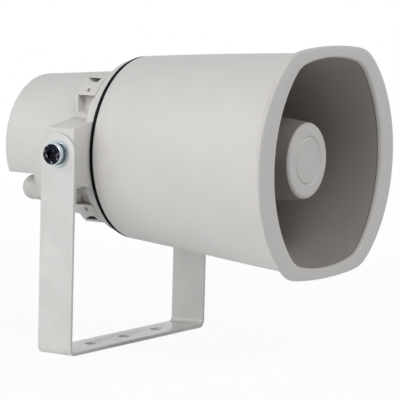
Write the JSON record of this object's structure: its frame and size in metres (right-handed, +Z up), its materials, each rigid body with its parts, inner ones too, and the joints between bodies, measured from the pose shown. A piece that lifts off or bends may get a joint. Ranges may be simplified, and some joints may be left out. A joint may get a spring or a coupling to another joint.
{
  "type": "horn loudspeaker",
  "caption": "Folded public-address horn loudspeaker with a rounded rectangular mouth, a central reflector and a tilting U-bracket.",
  "frame": {"origin": "centre of the underside of the bracket's foot, at the middle hole", "axes": "+Z up through the foot, -Y the way the horn fires, +X along the pivot bolts"},
  "size_m": [0.2024, 0.2603, 0.2365],
  "materials": {
    "bracket_paint": "satin",
    "pale_shell": "matte",
    "grey_flare": "matte",
    "zinc_steel": "satin",
    "brass": "satin",
    "black_rubber": "matte",
    "dark_plastic": "matte",
    "diaphragm_film": "gloss",
    "coil_copper": "satin",
    "ferrite": "matte",
    "core_steel": "matte",
    "winding_tape": "matte",
    "gland_plastic": "matte"
  },
  "bodies": {
    "bracket": {"bracket": "bracket_paint"},
    "horn": {"pivot_bolts": "zinc_steel", "spring_washers": "zinc_steel", "plain_washers": "zinc_steel", "pivot_inserts": "brass", "bell_shell": "pale_shell", "horn_flare": "grey_flare", "throat_tube": "grey_flare", "reflector_cup": "grey_flare", "reflector_cap": "pale_shell", "body_gasket": "black_rubber", "rear_housing": "pale_shell", "throat_seal": "black_rubber", "driver_cover": "dark_plastic", "phase_plug": "dark_plastic", "diaphragm_surround": "black_rubber", "top_plate": "zinc_steel", "magnet_ring": "ferrite", "pole_yoke": "zinc_steel", "transformer_core": "core_steel", "transformer_winding": "winding_tape", "terminal_block": "dark_plastic", "gland_bodies": "gland_plastic", "gland_nuts": "gland_plastic", "gland_seals": "black_rubber", "gland_locknuts": "gland_plastic", "housing_screws": "zinc_steel", "driver_screws": "zinc_steel", "throat_screws": "zinc_steel", "reflector_screws": "zinc_steel", "transformer_screws": "zinc_steel"},
    "diaphragm": {"diaphragm_dome": "diaphragm_film", "voice_coil": "coil_copper"}
  },
  "joints": [
    {"name": "tilt", "type": "hinge", "parent": "bracket", "child": "horn", "pos_m": [0, 0, 0.151], "axis": [-1, 0, 0], "range_deg": [-45, 90]},
    {"name": "diaphragm_travel", "type": "slide", "parent": "horn", "child": "diaphragm", "axis": [0, -1, 0], "range_m": [-0.0004, 0.0004], "stiffness_N_per_m": 2000}
  ]
}
